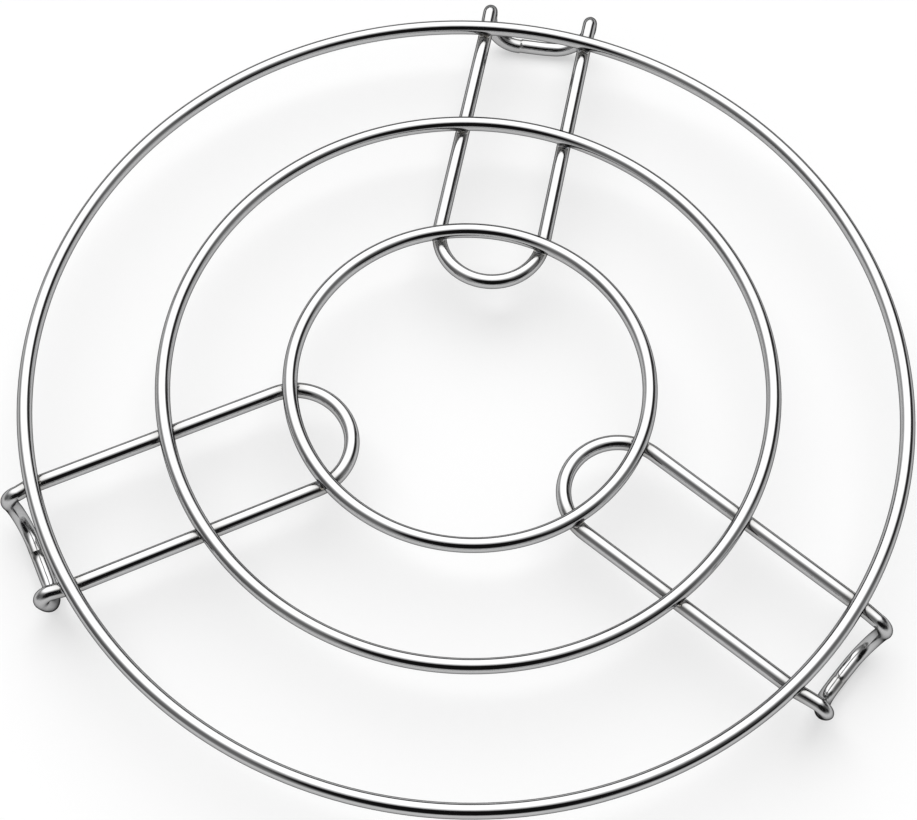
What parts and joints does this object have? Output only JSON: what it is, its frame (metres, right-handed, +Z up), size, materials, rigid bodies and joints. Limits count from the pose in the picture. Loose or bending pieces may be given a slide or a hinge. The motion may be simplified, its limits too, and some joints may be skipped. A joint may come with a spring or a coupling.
{
  "type": "gas stove trivet",
  "caption": "Low round wire trivet for a gas burner: concentric steel wire rings spot welded on top of hairpin wire legs that turn down into looped feet.",
  "frame": {"origin": "on the surface the trivet stands on, on the axis of the three rings", "axes": "+Z up through the centre of the rings, +Y out along the arms of leg_1, +X to the right seen from above with leg_1 at the top"},
  "size_m": [0.2007, 0.2089, 0.0176],
  "materials": {
    "steel_wire": "bright polished stainless steel wire"
  },
  "bodies": {
    "root": {"ring_outer": "steel_wire", "ring_middle": "steel_wire", "ring_inner": "steel_wire", "leg_1": "steel_wire", "leg_2": "steel_wire", "leg_3": "steel_wire"}
  },
  "joints": []
}
